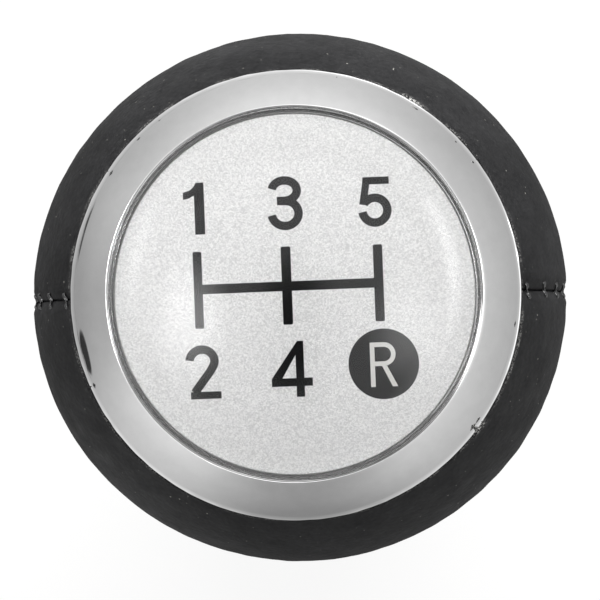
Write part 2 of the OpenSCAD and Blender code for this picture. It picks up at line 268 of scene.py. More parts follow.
# Leather: aniline-dyed cowhide with a black pigment finish, pressed with a fine pebble
# grain. It gives a satin sheen that breaks up over the grain, with specks of dust, and is
# rubbed pale in flecks where it is worn.
def makeLeatherMaterial():
    # sizes in millimetres
    look = {"drift": 1.6, "grain": 0.55, "pore": 0.16, "crease": 2.6, "mottle": 9.0, "fleck": 0.4,
            "dust": 0.85, "roughness": 0.6}
    material, tree, place = newMaterial("pigmentedCowhide")
    drift = noise(tree, place, look["drift"], 2.0)["Color"]
    bent = addNode(tree, "Mix", {"data_type": "VECTOR"},
                   {"Factor": 0.0002, "A": place, "B": drift}).outputs[1]
    grain = addNode(tree, "TexVoronoi", {"feature": "SMOOTH_F1"},
                    {"Vector": bent, "Scale": 1 / (look["grain"] * mm), "Smoothness": 0.6,
                     "Randomness": 1.0}).outputs["Distance"]
    pore = noise(tree, place, look["pore"], 3.0, 0.6)["Fac"]
    crease = noise(tree, place, look["crease"], 4.0, 0.55)["Fac"]
    mottle = noise(tree, place, look["mottle"], 3.0, 0.6)["Fac"]
    fleck = noise(tree, place, look["fleck"], 2.0, 0.7)["Fac"]
    tone = ramp(tree, calculate(tree, "MULTIPLY", mottle, fleck),
                [(0.14, toLinear("0e0e0f")), (0.4, toLinear("222223"))])
    rubbed = calculate(tree, "MULTIPLY", painted(tree, "wear"), mapRange(tree, pore, 0.47, 0.6))
    worn = mixColour(tree, rubbed, tone, "b4b3b0")
    # each speck has its own strength, so that most are faint
    speck = cells(tree, place, look["dust"])
    strength = calculate(tree, "POWER", firstChannel(tree, speck["Color"]), 4.0)
    dust = calculate(tree, "MULTIPLY", mapRange(tree, speck["Distance"], 0.04, 0.11, 0.8, 0.0), strength)
    gloss = mapRange(tree, crease, 0.3, 0.7, look["roughness"] - 0.07, look["roughness"] + 0.09)
    creases = relief(tree, crease, 0.3, 0.1)
    pebbles = relief(tree, grain, 0.55, 0.06, creases)
    closeSurface(tree, {"Base Color": mixColour(tree, dust, worn, "b9b7b0"), "Roughness": gloss,
                        "IOR": 1.45, "Specular IOR Level": 0.34,
                        "Normal": relief(tree, pore, 0.35, 0.03, pebbles)})
    return material


# Thread: bonded polyester, three plies twisted and waxed. It gives small bright glints
# on each ply over black.
def makeThreadMaterial():
    material, tree, place = newMaterial("bondedPolyesterThread")
    fibre = noise(tree, place, 0.16, 2.0)["Fac"]
    tone = ramp(tree, fibre, [(0.0, toLinear("060607")), (1.0, toLinear("121214"))])
    closeSurface(tree, {"Base Color": tone, "Roughness": 0.2, "IOR": 1.54, "Specular IOR Level": 0.4,
                        "Coat Weight": 1.0, "Coat Roughness": 0.1, "Coat IOR": 1.6,
                        "Normal": relief(tree, fibre, 0.35, 0.05)})
    return material


# Bright chrome electroplated on moulded ABS: a mirror with the moulding's faint unevenness
# and a haze of wiping, with painted shade darkening its base colour in the groove.
def makeChromeMaterial():
    material, tree, place = newMaterial("brightChromePlating")
    haze = noise(tree, place, 1.3, 5.0)["Fac"]
    swell = noise(tree, place, 7.0, 1.0)["Fac"]
    tint = mixColour(tree, haze, "dadada", "e6e6e6")
    # painted shade: the base colour goes dark in the groove, which dims what it reflects there
    closeSurface(tree, {"Base Color": mixColour(tree, painted(tree, "paintedGrooveShade"), tint, "3c3b3a"),
                        "Metallic": 1.0, "Roughness": mapRange(tree, haze, 0.35, 0.7, 0.045, 0.1),
                        "Normal": relief(tree, swell, 0.5, 0.12)})
    return material


# Satin silver lacquer: fine aluminium flake sprayed on a stamped plate. It gives an even,
# slightly warm white with a tight sparkle and a few dark grains, and painted shade towards its rolled edge.
def makeLacquerMaterial():
    # millimetres between flakes, coarser than real ones, and between dark grains
    look = {"flake": 0.11, "grain": 1.8, "bend": 2.6}
    material, tree, place = newMaterial("silverFlakeLacquer")
    level = firstChannel(tree, cells(tree, place, look["flake"])["Color"])
    tint = mixColour(tree, level, "c8c8c8", "ededec")
    grain = cells(tree, place, look["grain"])["Distance"]
    grained = mixColour(tree, mapRange(tree, grain, 0.02, 0.035, 0.3, 0.0), tint, "737372")
    # the domed resin bends what the plate mirrors, as if the plate were a little domed too,
    # but less so near its rim
    outward = combine(tree, "MULTIPLY", place, (look["bend"], look["bend"], 0))
    outward = addNode(tree, "VectorMath", {"operation": "SCALE"},
                      {0: outward, "Scale": painted(tree, "domed")}).outputs[0]
    facing = addNode(tree, "NewGeometry").outputs["Normal"]
    leaning = combine(tree, "NORMALIZE", combine(tree, "ADD", facing, outward))
    # painted shade: the base colour goes a little darker towards the plate's edge and dark over the rolled
    # edge, where the bezel's wall shades it
    closeSurface(tree, {"Base Color": mixColour(tree, painted(tree, "rim"), grained, "5a5a59"),
                        "Metallic": 0.9, "Roughness": 0.33,
                        "Normal": relief(tree, level, 0.2, 0.004, leaning)})
    return material


# Screen-printing ink: dense, with a faint mottle.
def makeInkMaterial(name, dark, light, metal):
    material, tree, place = newMaterial(name)
    mottle = noise(tree, place, 0.5, 3.0)["Fac"]
    closeSurface(tree, {"Base Color": mixColour(tree, mottle, dark, light), "Metallic": metal,
                        "Roughness": 0.5, "IOR": 1.45, "Specular IOR Level": 0.05})
    return material


# Clear polyurethane resin, poured and cured into a dome: glass-clear with a full gloss.
def makeResinMaterial():
    material, tree, place = newMaterial("clearDomingResin")
    waves = relief(tree, noise(tree, place, 8.0, 1.0)["Fac"], 0.3, 0.05)
    mirror = addNode(tree, "BsdfGlossy", None,
                     {"Color": white, "Roughness": 0.03, "Normal": waves}).outputs[0]
    clear = addNode(tree, "BsdfTransparent", None, {"Color": toLinear("fcfcfc")}).outputs[0]
    share = addNode(tree, "Fresnel", None, {"IOR": 1.49, "Normal": waves}).outputs[0]
    closeMaterial(tree, mixShader(tree, share, clear, mirror))
    return material


# A moulded, turned or foamed surface: a speckled tone, a grain of a size in millimetres, and
# fine turning rings where the piece was turned.
def makeWorkedMaterial(name, dark, light, grainSize, depth, roughness, metal=0.0, ior=1.5, rings=0.0):
    material, tree, place = newMaterial(name)
    grain = noise(tree, place, grainSize, 3.0, 0.6)["Fac"]
    cloud = noise(tree, place, 7.0, 2.0)["Fac"]
    speckle = mapRange(tree, calculate(tree, "MULTIPLY", grain, cloud), 0.12, 0.4)
    height = grain
    if rings:
        # the texture's own scale makes the bands 1.97 times as wide as rings says
        ring = addNode(tree, "TexWave", {"wave_type": "BANDS", "bands_direction": "Z"},
                       {"Vector": place, "Scale": 1 / (rings * 6.28 * mm), "Distortion": 0.4})
        height = calculate(tree, "ADD", ring.outputs["Fac"], grain)
    inputs = {"Base Color": mixColour(tree, speckle, dark, light), "Metallic": metal,
              "Roughness": mapRange(tree, grain, 0.3, 0.7, roughness - 0.06, roughness + 0.06),
              "Normal": relief(tree, height, 0.5, depth)}
    if not metal:
        inputs["IOR"] = ior
    closeSurface(tree, inputs)
    return material


leatherMaterial = makeLeatherMaterial()
threadMaterial = makeThreadMaterial()
chromeMaterial = makeChromeMaterial()
lacquerMaterial = makeLacquerMaterial()
inkMaterial = makeInkMaterial("blackScreenInk", "0d0d0f", "141416", 0.0)
silverInkMaterial = makeInkMaterial("silverScreenInk", "d8d7d4", "e6e5e2", 0.7)
resinMaterial = makeResinMaterial()
# Glass-filled nylon, injection moulded: dull, dark, with pale fibre clouds at the surface.
nylonMaterial = makeWorkedMaterial("glassFilledNylon", "26262a", "3a3a3e", 0.35, 0.03, 0.58)
# Free-cutting brass, turned: warm metal with tool rings 0.24 mm apart.
brassMaterial = makeWorkedMaterial("turnedBrass", "b8975a", "d3b577", 0.2, 0.008, 0.3, metal=1.0, rings=0.12)
# Skinned polyurethane foam: pale, matt, with cells about 0.5 mm wide.
foamMaterial = makeWorkedMaterial("skinnedFoam", "c9c4b2", "ddd9ca", 0.5, 0.12, 0.85, ior=1.4)
# ABS moulded in a spark-eroded tool: black with a fine even grain.
collarMaterial = makeWorkedMaterial("grainedBlackAbs", "151517", "202023", 0.16, 0.02, 0.46)
# ABS moulded in a plain tool: dark grey and smooth.
capMaterial = makeWorkedMaterial("plainGreyAbs", "2b2b2e", "38383b", 0.4, 0.008, 0.4)
# Steel, cold headed and bright zinc plated.
zincMaterial = makeWorkedMaterial("brightZincSteel", "aeb2b8", "cfd3d8", 0.3, 0.006, 0.28, metal=1.0)
# Acrylic foam tape: grey and matt.
tapeMaterial = makeWorkedMaterial("acrylicFoamTape", "4a4a4d", "5e5e61", 0.3, 0.03, 0.75, ior=1.45)
print("scene: materials made")


def bodySection(s):
    # the knob's side in section at a distance s up the leather: straight neck, hollow arc
    # of the waist, round arc of the head; returns radius, height and angle of the normal
    a = np.clip((s - neckLength) / knob["waistRadius"], 0, waistAngle)
    b = (s - neckLength - waistLength) / knob["headSide"] - waistAngle
    inNeck, inWaist = s < neckLength, s < neckLength + waistLength
    r = np.where(inNeck, knob["neckRadius"],
                 np.where(inWaist, knob["waistX"] - knob["waistRadius"] * np.cos(a),
                          knob["headX"] + knob["headSide"] * np.cos(b)))
    z = np.where(inNeck, knob["coverLow"] + s,
                 np.where(inWaist, knob["waistZ"] + knob["waistRadius"] * np.sin(a),
                          knob["headZ"] + knob["headSide"] * np.sin(b)))
    return r, z, np.where(inNeck, 0, np.where(inWaist, -a, b))


seamLook = {
    "valleyWidth": 1.0,      # from the seam to where the leather is level again
    "valleyDepth": 0.4,
    "creaseWidth": 0.09,     # the narrow gap between the two folded edges
    "creaseDepth": 0.2,
    "pucker": 0.13,          # dent round each needle hole
    "holeAt": 0.84,
    "slant": 0.3,            # a stitch's far end is this much higher
}
edgeRadius = knob["seatRadius"] + knob["edgeReach"]
seamTop = neckLength + waistLength + knob["headSide"] * (
    waistAngle + math.acos((edgeRadius - knob["headX"]) / knob["headSide"]))
stitchFirst = knob["stitchStart"] - knob["coverLow"] + knob["stitchPitch"] / 2 + knob["stitchGap"]
stitchAt = stitchFirst + knob["stitchPitch"] * np.arange(knob["stitches"])


def seamDepth(s, across, side):
    # how far the leather lies under its level surface at a distance across from the seam:
    # a wide shallow valley, a narrow deep crease, and a dent at each needle hole
    look = seamLook
    valley = look["valleyDepth"] * np.clip(1 - across / look["valleyWidth"], 0, 1) ** 1.15
    crease = look["creaseDepth"] * np.exp(-(across / look["creaseWidth"]) ** 2)
    phase = (s - stitchAt[0] - side * look["slant"]) / knob["stitchPitch"]
    near = np.abs(phase - np.round(phase)) * knob["stitchPitch"]
    inSeam = (phase > -0.5) & (phase < knob["stitches"] - 0.5)
    pucker = look["pucker"] * bump(near, 0, 0.55) * bump(across, look["holeAt"], 0.42) * inSeam
    return valley + crease + pucker


leatherLook = {
    "rows": 158,
    "columns": 236,
    "fineRows": 13,          # of the rows, these crowd in the last stretch below the edge
    "fineHeight": 1.5,
    "rollRows": 7,           # these round the cut edge over
    "skirtRows": 4,          # and these go down beside the bezel's skirt
    "nearSeam": [0.012, 0.05, 0.11, 0.18, 0.24, 0.31, 0.39, 0.48, 0.58, 0.69, 0.81, 0.93, 1.06, 1.2,
                 1.36, 1.55, 1.78, 2.05, 2.38, 2.78, 3.25],   # the columns beside a seam
    "fold": (1.75, 2.15),    # the folded edge ends between these distances from the seam
    "inset": 0.01,           # the mean surface lies a little inside the level one
    "wave": 0.018,           # height of the hide's waviness
    "waveSize": 17.0,
    "ripple": 0.015,
    "rippleSize": 2.4,
    "flat": 0.24,            # the head is this much narrower from front to back
    "edgeRound": 0.06,       # the cut edge beside the bezel
    "ragged": 0.9,           # share of the raggedness that the cut edge's height takes
    "tag": 0.18,             # small tags of leather reach up to the bezel's foot
    "tagRise": 0.37,
    # places of the tags, in degrees round from +X
    "nicks": [145.7, 133.8, 126.7, 120.3, 108.2, 78.1, 42.6, 35.6, 28.0, -8.5, -68.0, 196.0, 203.0],
    "scuffs": [(54.8, 60.2), (320.0, 325.0)],   # longer frayed stretches
}


def leatherHalf(rear):
    # a closed slab: an outer and an inner grid over the height s and the way round from one
    # seam to the other, joined along the seams, the hem and the edge under the bezel
    look = leatherLook
    rows, cols, fineRows = look["rows"], look["columns"], look["fineRows"]
    rollRows = look["rollRows"]
    edgeRows = rollRows + look["skirtRows"] + 1
    fineFrom = 1 - look["fineHeight"] / seamTop
    climb = np.concatenate([np.linspace(0, fineFrom, rows - edgeRows - fineRows + 1)[:-1],
                            np.linspace(fineFrom, 1, fineRows), np.ones(edgeRows)])
    s = seamTop * climb
    near = np.array(look["nearSeam"])
    r, z, lean = (v[:, None] for v in bodySection(s))
    first = near[None, :] / r
    middle = cols - 2 * len(near)
    # the columns crowd together at the tags
    fine = np.linspace(0, 1, 2001)
    degrees = fine * 180 + (0 if rear else 180)
    crowd = np.cumsum(1 + 5 * sum(bump((degrees - n + 180) % 360, 180, 1.6) for n in look["nicks"]))
    crowd = (crowd - crowd[0]) / (crowd[-1] - crowd[0])
    share = np.interp(np.linspace(0, 1, middle + 2), crowd, fine)[None, 1:-1]
    free = first[:, -1:]
    around = np.hstack([first, free + (math.pi - 2 * free) * share, math.pi - first[:, ::-1]])
    across = np.minimum(around, math.pi - around) * r
    onRight = around < math.pi / 2
    phi = around if rear else around + math.pi
    # the seam's slant runs the same way round on both sides of the knob
    slantSide = np.where(onRight, 1.0, -1.0)
    level = np.stack([r * np.cos(phi), r * np.sin(phi), z + 0 * phi], -1)
    depth = look["inset"] + seamDepth(s[:, None], across, slantSide)
    depth = depth - look["wave"] * softNoise(level, look["waveSize"], 3)
    depth = depth - look["ripple"] * softNoise(level, look["rippleSize"], 5)
    depth = depth + look["flat"] * np.sin(phi) ** 2 * smooth(z, 30, 50)
    outR, outZ = r - depth * np.cos(lean), z - depth * np.sin(lean)

    # the cut edge: it rounds over beside the bezel, goes down its skirt and in under it
    degrees = np.degrees(phi) % 360
    nick = sum(bump((degrees - n + 180) % 360, 180, 0.55) for n in look["nicks"])
    rag = 0.022 * softNoise(level, 1.1, 11) + 0.02 * softNoise(level, 5.0, 12)
    scuffed = sum(smooth(degrees, start - 1, start + 1) * (1 - smooth(degrees, end - 1, end + 1))
                  for start, end in look["scuffs"])
    nick = nick + 0.5 * scuffed * (1 + 0.7 * softNoise(level, 0.7, 13))
    nearEdge = smooth(s[:, None], seamTop - 0.7, seamTop)
    outZ = outZ + nearEdge * (look["ragged"] * np.clip(rag, -0.04, 0.04) + look["tagRise"] * nick)
    edgeIn = (knob["seatRadius"] + 0.5 * rag - look["tag"] * nick)[-edgeRows]
    top = rows - edgeRows - 1
    radius = look["edgeRound"]
    roll = np.linspace(math.degrees(lean[top, 0]), 180, rollRows + 1)[1:, None]
    centreR, centreZ = edgeIn + radius, outZ[top] - radius * math.sin(lean[top, 0])
    rolled, skirt = slice(-edgeRows, rollRows - edgeRows), slice(rollRows - edgeRows, -1)
    outR[rolled] = centreR + radius * np.cos(np.radians(roll))
    outZ[rolled] = centreZ + radius * np.sin(np.radians(roll))
    outR[skirt] = knob["seatRadius"]
    down = np.linspace(0, 1, look["skirtRows"] + 1)[1:, None]
    outZ[skirt] = centreZ + (knob["tuckZ"] - centreZ) * down
    outR[-1], outZ[-1] = knob["tuckRadius"], knob["tuckZ"]

    # the underside: one layer, and two over the folded seam edge
    under = knob["leather"] + knob["leather"] * (1 - smooth(across, *look["fold"]))
    under[-edgeRows:] = knob["leather"]
    inR, inZ = r - under * np.cos(lean), z - under * np.sin(lean)
    inR[-edgeRows:] = np.linspace(inR[top], knob["tuckRadius"], edgeRows + 1)[1:]
    inZ[-edgeRows:] = np.linspace(inZ[top], knob["tuckZ"] - knob["leather"], edgeRows + 1)[1:]

    def place(radiusHere, heightHere):
        return np.stack([radiusHere * np.cos(phi), radiusHere * np.sin(phi), heightHere], -1)

    points = np.concatenate([place(outR, outZ).reshape(-1, 3), place(inR, inZ).reshape(-1, 3)])
    count = rows * cols
    outer = np.arange(count).reshape(rows, cols)
    inner = outer + count

    def strip(a, b):
        return np.stack([a[:-1], a[1:], b[1:], b[:-1]], -1)

    faces = [gridFaces(rows, cols),
             gridFaces(rows, cols, start=count)[:, ::-1],
             strip(inner[0], outer[0]), strip(outer[-1], inner[-1]),
             strip(outer[:, 0], inner[:, 0]), strip(inner[:, -1], outer[:, -1])]
    name = "leatherRearHalf" if rear else "leatherFrontHalf"
    node = "leather_rear" if rear else "leather_front"
    piece = makePiece(name, points, faces, leatherMaterial, [node], sharp=70)
    wear = (0.1 + 0.12 * softNoise(level, 3.0, 21)) * bump(s[:, None], seamTop, 0.09)
    wear = wear + 0.7 * scuffed * bump(s[:, None], seamTop, 0.22)
    paint(piece, "wear", np.clip(np.concatenate([wear.ravel(), np.zeros(count)]), 0, 1))


leatherHalf(True)
leatherHalf(False)
print("scene: leather made")


def seamThread(right):
    # each stitch is a tube of three twisted plies: it comes out of one needle hole, lies
    # over the valley and goes into the other
    look = {"radius": 0.21, "ply": 0.2, "twist": 1.1, "reach": 0.84, "along": 26, "around": 15,
            "height": -0.36, "rise": 0.17, "dive": 0.5, "plies": 3}
    t = np.linspace(-1, 1, look["along"])
    away = np.abs(t)
    across = look["reach"] * np.sign(t) * away ** 0.86
    height = look["height"] + look["rise"] * smooth(away, 0.05, 0.6) - look["dive"] * smooth(away, 0.64, 1.0)
    tangentAcross, tangentHeight = np.gradient(across), np.gradient(height)
    length = np.hypot(tangentAcross, tangentHeight)
    upAcross, upHeight = -tangentHeight / length, tangentAcross / length
    theta = np.arange(look["around"]) / look["around"] * turn
    way = np.cumsum(length) / look["twist"] * turn
    twisted = np.cos(look["plies"] * (theta[None, :] - way[:, None] / look["plies"]))
    thick = look["radius"] * (1 + look["ply"] * twisted - look["ply"])
    sideAcross = across[:, None] + thick * np.cos(theta) * upAcross[:, None]
    sideHeight = height[:, None] + thick * np.cos(theta) * upHeight[:, None]
    sideAlong = thick * np.sin(theta) + seamLook["slant"] * (across / look["reach"])[:, None]
    r, z, lean = (v[:, None, None] for v in bodySection(stitchAt))
    random = np.random.default_rng(31 if right else 32)
    jitter = random.normal(0, 1, (4, len(stitchAt), 1, 1))
    sideHeight = sideHeight + 0.02 * jitter[0]
    sideAcross = sideAcross + 0.05 * jitter[1]
    sideAlong = sideAlong + 0.05 * jitter[2] + 0.03 * jitter[3] * sideAcross
    outR = r + sideHeight * np.cos(lean) - sideAlong * np.sin(lean)
    outZ = z + sideHeight * np.sin(lean) + sideAlong * np.cos(lean)
    points = np.stack([outR, sideAcross + 0 * outR, outZ], -1)
    if not right:
        points = points * np.array([-1, -1, 1])
    count, along, around = points.shape[:3]
    grid = gridFaces(along, around, False, True)
    faces = (grid[None] + np.arange(count)[:, None, None] * along * around).reshape(-1, 4)
    ring = np.arange(around)
    starts = (np.arange(count) * along * around)[:, None]
    caps = [starts + ring[None, :], starts + (along - 1) * around + ring[None, ::-1]]
    name = "seamThreadRight" if right else "seamThreadLeft"
    node = "seam_thread_right" if right else "seam_thread_left"
    makePiece(name, points, [faces[:, ::-1], *caps], threadMaterial, [node], sharp=60)


seamThread(True)
seamThread(False)
print("scene: stitches made")


def foamPadding():
    # a closed shell between the core and the leather, with a channel for each folded edge
    look = {"rows": 90, "columns": 144, "beyond": 1.2, "top": 67.74, "gap": 0.02, "channel": 1.35}
    s = np.linspace(0.0, seamTop + look["beyond"], look["rows"])
    r, z, lean = (v[:, None] for v in bodySection(s))
    phi = (np.arange(look["columns"]) / look["columns"] * turn)[None, :]
    nearSeam = np.abs(np.sin(phi)) * r
    outer = knob["leather"] + look["gap"] + look["channel"] * (1 - smooth(nearSeam, 2.1, 2.5))
    inner = knob["leather"] + knob["foam"] - look["gap"] / 2
    depth = np.stack([outer, inner + 0 * outer])
    away, height = r - depth * np.cos(lean), z - depth * np.sin(lean)
    shells = np.stack([away * np.cos(phi), away * np.sin(phi), np.minimum(height, look["top"])], -1)
    ring = np.concatenate([shells[0], shells[1][::-1]])
    return makePiece("foamPadding", ring, [gridFaces(2 * look["rows"], look["columns"], True, True)],
                     foamMaterial, ["foam_padding"], sharp=50)


foam = foamPadding()


def chromeBezel():
    # the section in order: window wall, rolled lip, crown, small hollow and turned-out foot,
    # skirt, and the plain inside with the ledge that carries the badge
    look = {"lip": 0.09, "lipAt": (17.12, 74.22), "window": 16.77, "foot": 20.6, "columns": 288,
            "crownStart": 28.0, "crownEnd": 65.6, "hollow": 0.55, "footRound": 0.06, "footTilt": 18.0,
            "footTop": 70.78, "ledge": 11.95, "ledgeTop": 72.813, "ledgeLow": 71.913,
            "low": 68.963, "lowRound": 0.1, "inside": 19.5, "hooks": (150, 270, 390), "hookHalf": 14.5}

    def tilted(angle):
        # unit vector that leans outwards from straight up
        return np.array([math.sin(math.radians(angle)), math.cos(math.radians(angle))])

    lip = arc(look["lipAt"], look["lip"], 180, 90 - look["crownStart"], 12)[::-1]
    footCentre = np.array([look["foot"] - look["footRound"], look["footTop"] - look["footRound"]])
    hollowCentre = footCentre + (look["footRound"] + look["hollow"]) * tilted(look["footTilt"])
    start, end = lip[0], hollowCentre - look["hollow"] * tilted(look["crownEnd"])
    chord = start - end
    half = np.hypot(*chord) / 2
    radius = half / math.sin(math.radians(look["crownEnd"] - look["crownStart"]) / 2)
    across = np.array([-chord[1], chord[0]]) / (2 * half)
    centre = (start + end) / 2 + across * math.sqrt(radius ** 2 - half ** 2)
    angles = [math.degrees(math.atan2(*(p - centre)[::-1])) for p in (end, start)]
    crown = arc(centre, radius, angles[0], angles[1], 40)
    hollow = arc(hollowCentre, look["hollow"], 270 - look["footTilt"], 270 - look["crownEnd"], 12)
    foot = arc(footCentre, look["footRound"], 0, 90 - look["footTilt"], 6)
    lowR, window = look["foot"] - look["lowRound"], look["window"]
    section = np.vstack([
        line((look["inside"], look["low"]), (lowR, look["low"]), 2),
        arc((lowR, look["low"] + look["lowRound"]), look["lowRound"], -90, 0, 4)[1:],
        line((look["foot"], 69.3), (look["foot"], 70.5), 3),
        foot, hollow[1:], crown[1:], lip[1:],
        # a fine groove and a bevel lead down to the window's wall
        [(16.99, 74.06), (16.93, 74.045), (16.92, 74.08), (16.82, 73.99), (window, 73.9)],
        line((window, 73.6), (window, look["ledgeTop"] + 0.1), 3),
        line((window - 0.1, look["ledgeTop"]), (look["ledge"], look["ledgeTop"]), 3),
        line((look["ledge"], look["ledgeLow"]), (18.0, look["ledgeLow"]), 3),
        [(look["inside"], 70.5)]])
    points, faces = revolve(section, look["columns"])
    # the foot isn't quite round: two slow waves and a fine unevenness
    away, angle = np.hypot(points[:, 0], points[:, 1]), np.arctan2(points[:, 1], points[:, 0])
    outside = smooth(away, 18.5, 20.5)[:, None]
    ripple = 0.012 * np.sin(3 * angle + 0.7) + 0.008 * np.sin(7 * angle)
    ripple += 0.009 * softNoise(points, 1.6, 51) * smooth(away, 20.3, 20.5)
    sway = np.stack([np.cos(angle), np.sin(angle), 0.6 + 0 * angle], -1)
    points = points + outside * ripple[:, None] * sway
    # three snap hooks below the ledge
    pieces, groups, count = [points], list(faces), len(points)
    hook = np.array([(12.15, 72.3), (12.15, 67.613), (13.25, 67.613), (13.95, 69.113), (13.95, 69.613),
                     (13.25, 69.613), (13.25, 72.3)])
    steps = np.radians(np.linspace(-look["hookHalf"], look["hookHalf"], 9))
    for at in look["hooks"]:
        a = math.radians(at) + steps
        body = np.stack([hook[:, :1] * np.cos(a), hook[:, :1] * np.sin(a), hook[:, 1:] + 0 * a], -1)
        index = np.arange(body.shape[0] * body.shape[1]).reshape(body.shape[:2]) + count
        groups.append(gridFaces(*body.shape[:2], True, False, start=count))
        groups += [index[None, :, 0], index[None, ::-1, -1]]
        pieces.append(body.reshape(-1, 3))
        count += body.shape[0] * body.shape[1]
    points = np.vstack(pieces)
    piece = makePiece("chromeBezel", points, groups, chromeMaterial, ["chrome_bezel"],
                      sharp=24)
    # painted shade in the groove, darker to the front and right
    away, angle = np.hypot(points[:, 0], points[:, 1]), np.arctan2(points[:, 1], points[:, 0])
    groove = (away < 17.01) * (away > 16.9) * (points[:, 2] > 74.0)
    paintedGrooveShade = groove * (0.36 + 0.34 * np.cos(angle + 1.4) + 0.06 * softNoise(points, 4.0, 41))
    paint(piece, "paintedGrooveShade", np.clip(paintedGrooveShade, 0, 0.8))


def dialPlate():
    # a stamped disc whose edge rolls down
    look = {"radius": 16.52, "roll": 0.2, "low": 72.813}
    radius, roll, low, top = look["radius"], look["roll"], look["low"], knob["plateTop"]
    section = np.vstack([[(0, low)], line((2, low), (radius - 0.05, low), 5),
                         arc((radius - roll, top - roll), roll, 0, 90, 12),
                         line((radius - 0.24, top), (2, top), 40), [(0, top)]])
    points, faces = revolve(section, 192)
    piece = makePiece("dialPlate", points, faces, lacquerMaterial, ["dial_plate"], sharp=60)
    away = np.hypot(points[:, 0], points[:, 1])
    # painted shade for the lacquer: a little darker from 11 mm out, and dark over the rolled edge beside the
    # bezel's wall
    paint(piece, "rim", 0.1 * smooth(away, 11.0, 16.0) + 0.35 * smooth(away, 16.3, 16.5))
    paint(piece, "domed", 1 - 0.7 * smooth(away, 14.3, 16.4))


def badgeLens():
    # a clear disc with a rounded edge and a shallow dome, a hair above the plate
    look = {"radius": 16.71, "edge": 0.22, "gap": 0.06, "edgeTop": 74.213, "rise": 0.69, "lowRound": 0.08}
    low, lowRound = knob["plateTop"] + look["gap"], look["lowRound"]
    lowR = look["radius"] - lowRound
    flat = look["radius"] - look["edge"]
    r = np.linspace(flat, 0, 30)
    dome = np.stack([r, look["edgeTop"] + look["rise"] * (1 - (r / flat) ** 2)], -1)
    section = np.vstack([[(0, low)], line((2, low), (lowR, low), 4),
                         arc((lowR, low + lowRound), lowRound, -60, 0, 4),
                         arc((flat, look["edgeTop"] - look["edge"]), look["edge"], 0, 84, 10), dome[1:]])
    points, faces = revolve(section, 192)
    makePiece("badgeLens", points, faces, resinMaterial, ["badge_lens"], sharp=60)


chromeBezel()
dialPlate()
badgeLens()
print("scene: bezel and badge made")

# The shift pattern, in units of which 11.015 make a millimetre, from the plate's centre. The
# heights of the ink over the plate are in millimetres, and each shape is a layer thicker than
# the one before.
pattern = {"unit": 1 / 11.015, "turn": 1.05, "stroke": 8.5, "letterStroke": 4.6, "low": 0.001,
           "ink": 0.018, "letterLow": 0.03, "letterInk": 0.008, "layer": 0.0006}


def strokeOutline(path, width):
    # the two sides of a line of even width, as one closed outline
    path = np.asarray(path, float)
    way = np.gradient(path, axis=0)
    way /= np.linalg.norm(way, axis=1, keepdims=True)
    side = np.stack([-way[:, 1], way[:, 0]], -1) * width / 2
    return np.vstack([path + side, (path - side)[::-1]])


def bowl(centre, radii, first, last, count=28):
    a = np.radians(np.linspace(first, last, count))
    return np.stack([centre[0] + radii[0] * np.cos(a), centre[1] + radii[1] * np.sin(a)], -1)


def softBar(left, right, low, high, corner=1.6):
    # a bar with slightly rounded corners
    corners = [((right - corner, high - corner), 0), ((left + corner, high - corner), 90),
               ((left + corner, low + corner), 180), ((right - corner, low + corner), 270)]
    return np.vstack([arc(c, corner, a, a + 90, 5) for c, a in corners])


def printShapes():
    w = pattern["stroke"]
    one = [(-87.1, 63.2), (-87.1, 115.2), (-95.0, 115.2), (-97.4, 111.0), (-101.6, 107.4), (-108.1, 105.6),
           (-108.1, 98.4), (-102.4, 99.6), (-97.1, 102.4), (-97.1, 63.2)]
    threeTop = strokeOutline(np.vstack([line((-14.2, 93.6), (-8.5, 93.6), 4),
                                        bowl((-6.5, 103.8), (12.6, 10.2), -86, 170)]), w)
    threeLow = strokeOutline(np.vstack([line((-11.5, 93.4), (-8.4, 93.4), 3),
                                        bowl((-6.4, 80.9), (13.45, 12.55), 86, -173)]), w)
    fiveBar = [(71.4, 106.6), (98.4, 106.6), (98.4, 113.9), (72.2, 113.9)]
    fiveStem = [(68.0, 86.9), (75.4, 85.9), (78.7, 106.6), (71.4, 106.6)]
    fiveBowl = strokeOutline(bowl((83.4, 80.6), (12.5, 12.45), 148, -173), w)
    twoTop = strokeOutline(np.vstack([bowl((-95.2, -63.6), (12.4, 11.65), 176, -38),
                                      line((-87.6, -74.4), (-103.6, -95.0), 8)]), w)
    twoBase = [(-107.6, -101.5), (-77.0, -101.5), (-77.0, -94.2), (-107.6, -94.2)]
    fourLeft = [(-1.6, -49.7), (-26.2, -84.3), (-26.2, -92.2), (-1.6, -92.2), (-1.6, -84.0), (-15.4, -84.0),
                (-1.6, -61.0)]
    fourStem = [(-1.6, -49.7), (-1.6, -102.9), (6.6, -102.9), (6.6, -92.2), (14.8, -92.2), (14.8, -84.0),
                (6.6, -84.0), (6.6, -47.0), (0.4, -47.0)]
    bars = [softBar(-100.65, -91.85, -31.0, 45.9), softBar(-12.4, -2.6, -30.4, 47.8),
            softBar(79.8, 89.2, -30.6, 46.3),
            [(-92.6, 3.3), (-11.6, 3.3), (-11.6, 12.9), (-92.6, 12.9)],
            [(-3.4, 3.3), (80.6, 3.3), (80.6, 12.9), (-3.4, 12.9)]]
    disc = bowl((86.4, -73.2), (35.3, 35.3), 0, 360, 97)[:-1]
    black = [*bars, one, threeTop, threeLow, fiveBar, fiveStem, fiveBowl, twoTop, twoBase, fourLeft,
             fourStem, disc]
    w = pattern["letterStroke"]
    letter = [[(72.9, -96.0), (77.5, -96.0), (77.5, -51.6), (72.9, -51.6)],
              strokeOutline(np.vstack([line((77.4, -53.9), (86.2, -53.9), 5),
                                       bowl((86.65, -63.45), (9.55, 9.55), 87, -87, 20),
                                       line((86.2, -73.0), (77.4, -73.0), 5)]), w),
              [(84.6, -75.2), (94.6, -96.0), (100.0, -96.0), (89.6, -75.2)]]
    return black, letter


